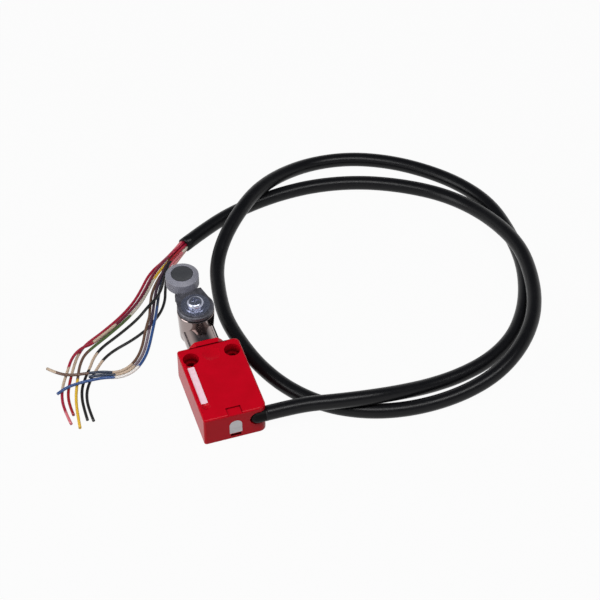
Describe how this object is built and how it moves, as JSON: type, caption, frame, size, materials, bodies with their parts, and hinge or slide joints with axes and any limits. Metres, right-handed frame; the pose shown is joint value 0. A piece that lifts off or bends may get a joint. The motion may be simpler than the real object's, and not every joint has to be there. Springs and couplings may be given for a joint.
{
  "type": "safety limit switch",
  "caption": "Miniature safety limit switch with a roller lever on a round turret head and a fixed cable whose stripped cores fan out.",
  "frame": {"origin": "midway between the two fixing holes, on the back face that lies on the mounting surface", "axes": "+Z out of the front face, along the fixing holes; +Y along the body from the cable end towards the lever; +X across the width, towards the side where the cable leaves"},
  "size_m": [0.2466, 0.1822, 0.0282],
  "materials": {
    "red_paint": "satin",
    "nickel": "satin",
    "lever_paint": "satin",
    "zinc_steel": "satin",
    "steel": "satin",
    "bronze": "satin",
    "brass": "satin",
    "dark_pin": "satin",
    "grey_plastic": "matte",
    "white_plastic": "matte",
    "pale_plate": "matte",
    "black_plastic": "matte",
    "rubber": "matte",
    "cable_black": "satin",
    "core_red": "gloss",
    "core_red_white": "gloss",
    "core_green_yellow": "gloss",
    "core_white_violet": "gloss",
    "core_black_white": "gloss",
    "core_black": "gloss",
    "core_brown": "gloss",
    "core_violet": "gloss",
    "core_blue": "gloss"
  },
  "bodies": {
    "switch_body": {"housing": "red_paint", "marking_strip": "white_plastic", "end_plate": "pale_plate", "rear_cover": "black_plastic", "rear_gasket": "rubber", "cover_screws": "zinc_steel", "head_body": "nickel", "shaft_bush": "bronze", "shaft_seal": "rubber", "dust_ring": "rubber", "turret_seal": "rubber", "turret_clip": "steel", "head_spring": "steel", "contact_base": "black_plastic", "contact_cover": "black_plastic", "opening_contacts": "brass", "closing_contacts": "brass", "plunger_spring": "steel", "cable_elbow": "rubber", "cable_jacket": "cable_black", "core_red": "core_red", "core_red_white": "core_red_white", "core_green_yellow": "core_green_yellow", "core_white_violet": "core_white_violet", "core_black_white": "core_black_white", "core_black": "core_black", "core_brown": "core_brown", "core_violet": "core_violet", "core_blue": "core_blue"},
    "lever": {"lever_arm": "lever_paint", "lever_shaft": "steel", "drive_cam": "steel", "thrust_washer": "steel", "lever_washer": "zinc_steel", "lever_spring_washer": "zinc_steel", "lever_screw": "zinc_steel", "roller_pin": "dark_pin", "roller_washer": "steel"},
    "roller": {"roller": "grey_plastic"},
    "follower": {"head_follower": "brass"},
    "plunger": {"contact_plunger": "white_plastic", "bridge_opening_1": "brass", "bridge_opening_2": "brass", "bridge_closing": "brass", "bridge_springs": "steel"}
  },
  "joints": [
    {"name": "lever_swing", "type": "hinge", "parent": "switch_body", "child": "lever", "pos_m": [0, 0.0265, 0], "axis": [0, 0, 1], "range_deg": [-70, 70], "stiffness_Nm_per_rad": 0.06},
    {"name": "roller_spin", "type": "hinge", "parent": "lever", "child": "roller", "pos_m": [-0.00152, 0.04383, 0], "axis": [0, 0, 1], "continuous": true},
    {"name": "follower_slide", "type": "slide", "parent": "switch_body", "child": "follower", "axis": [0, -1, 0], "range_m": [0, 0.002], "stiffness_N_per_m": 900},
    {"name": "plunger_slide", "type": "slide", "parent": "switch_body", "child": "plunger", "axis": [0, -1, 0], "range_m": [0, 0.002]}
  ],
  "couplings": [
    {"joint": "plunger_slide", "follows": "follower_slide", "ratio": 1}
  ]
}
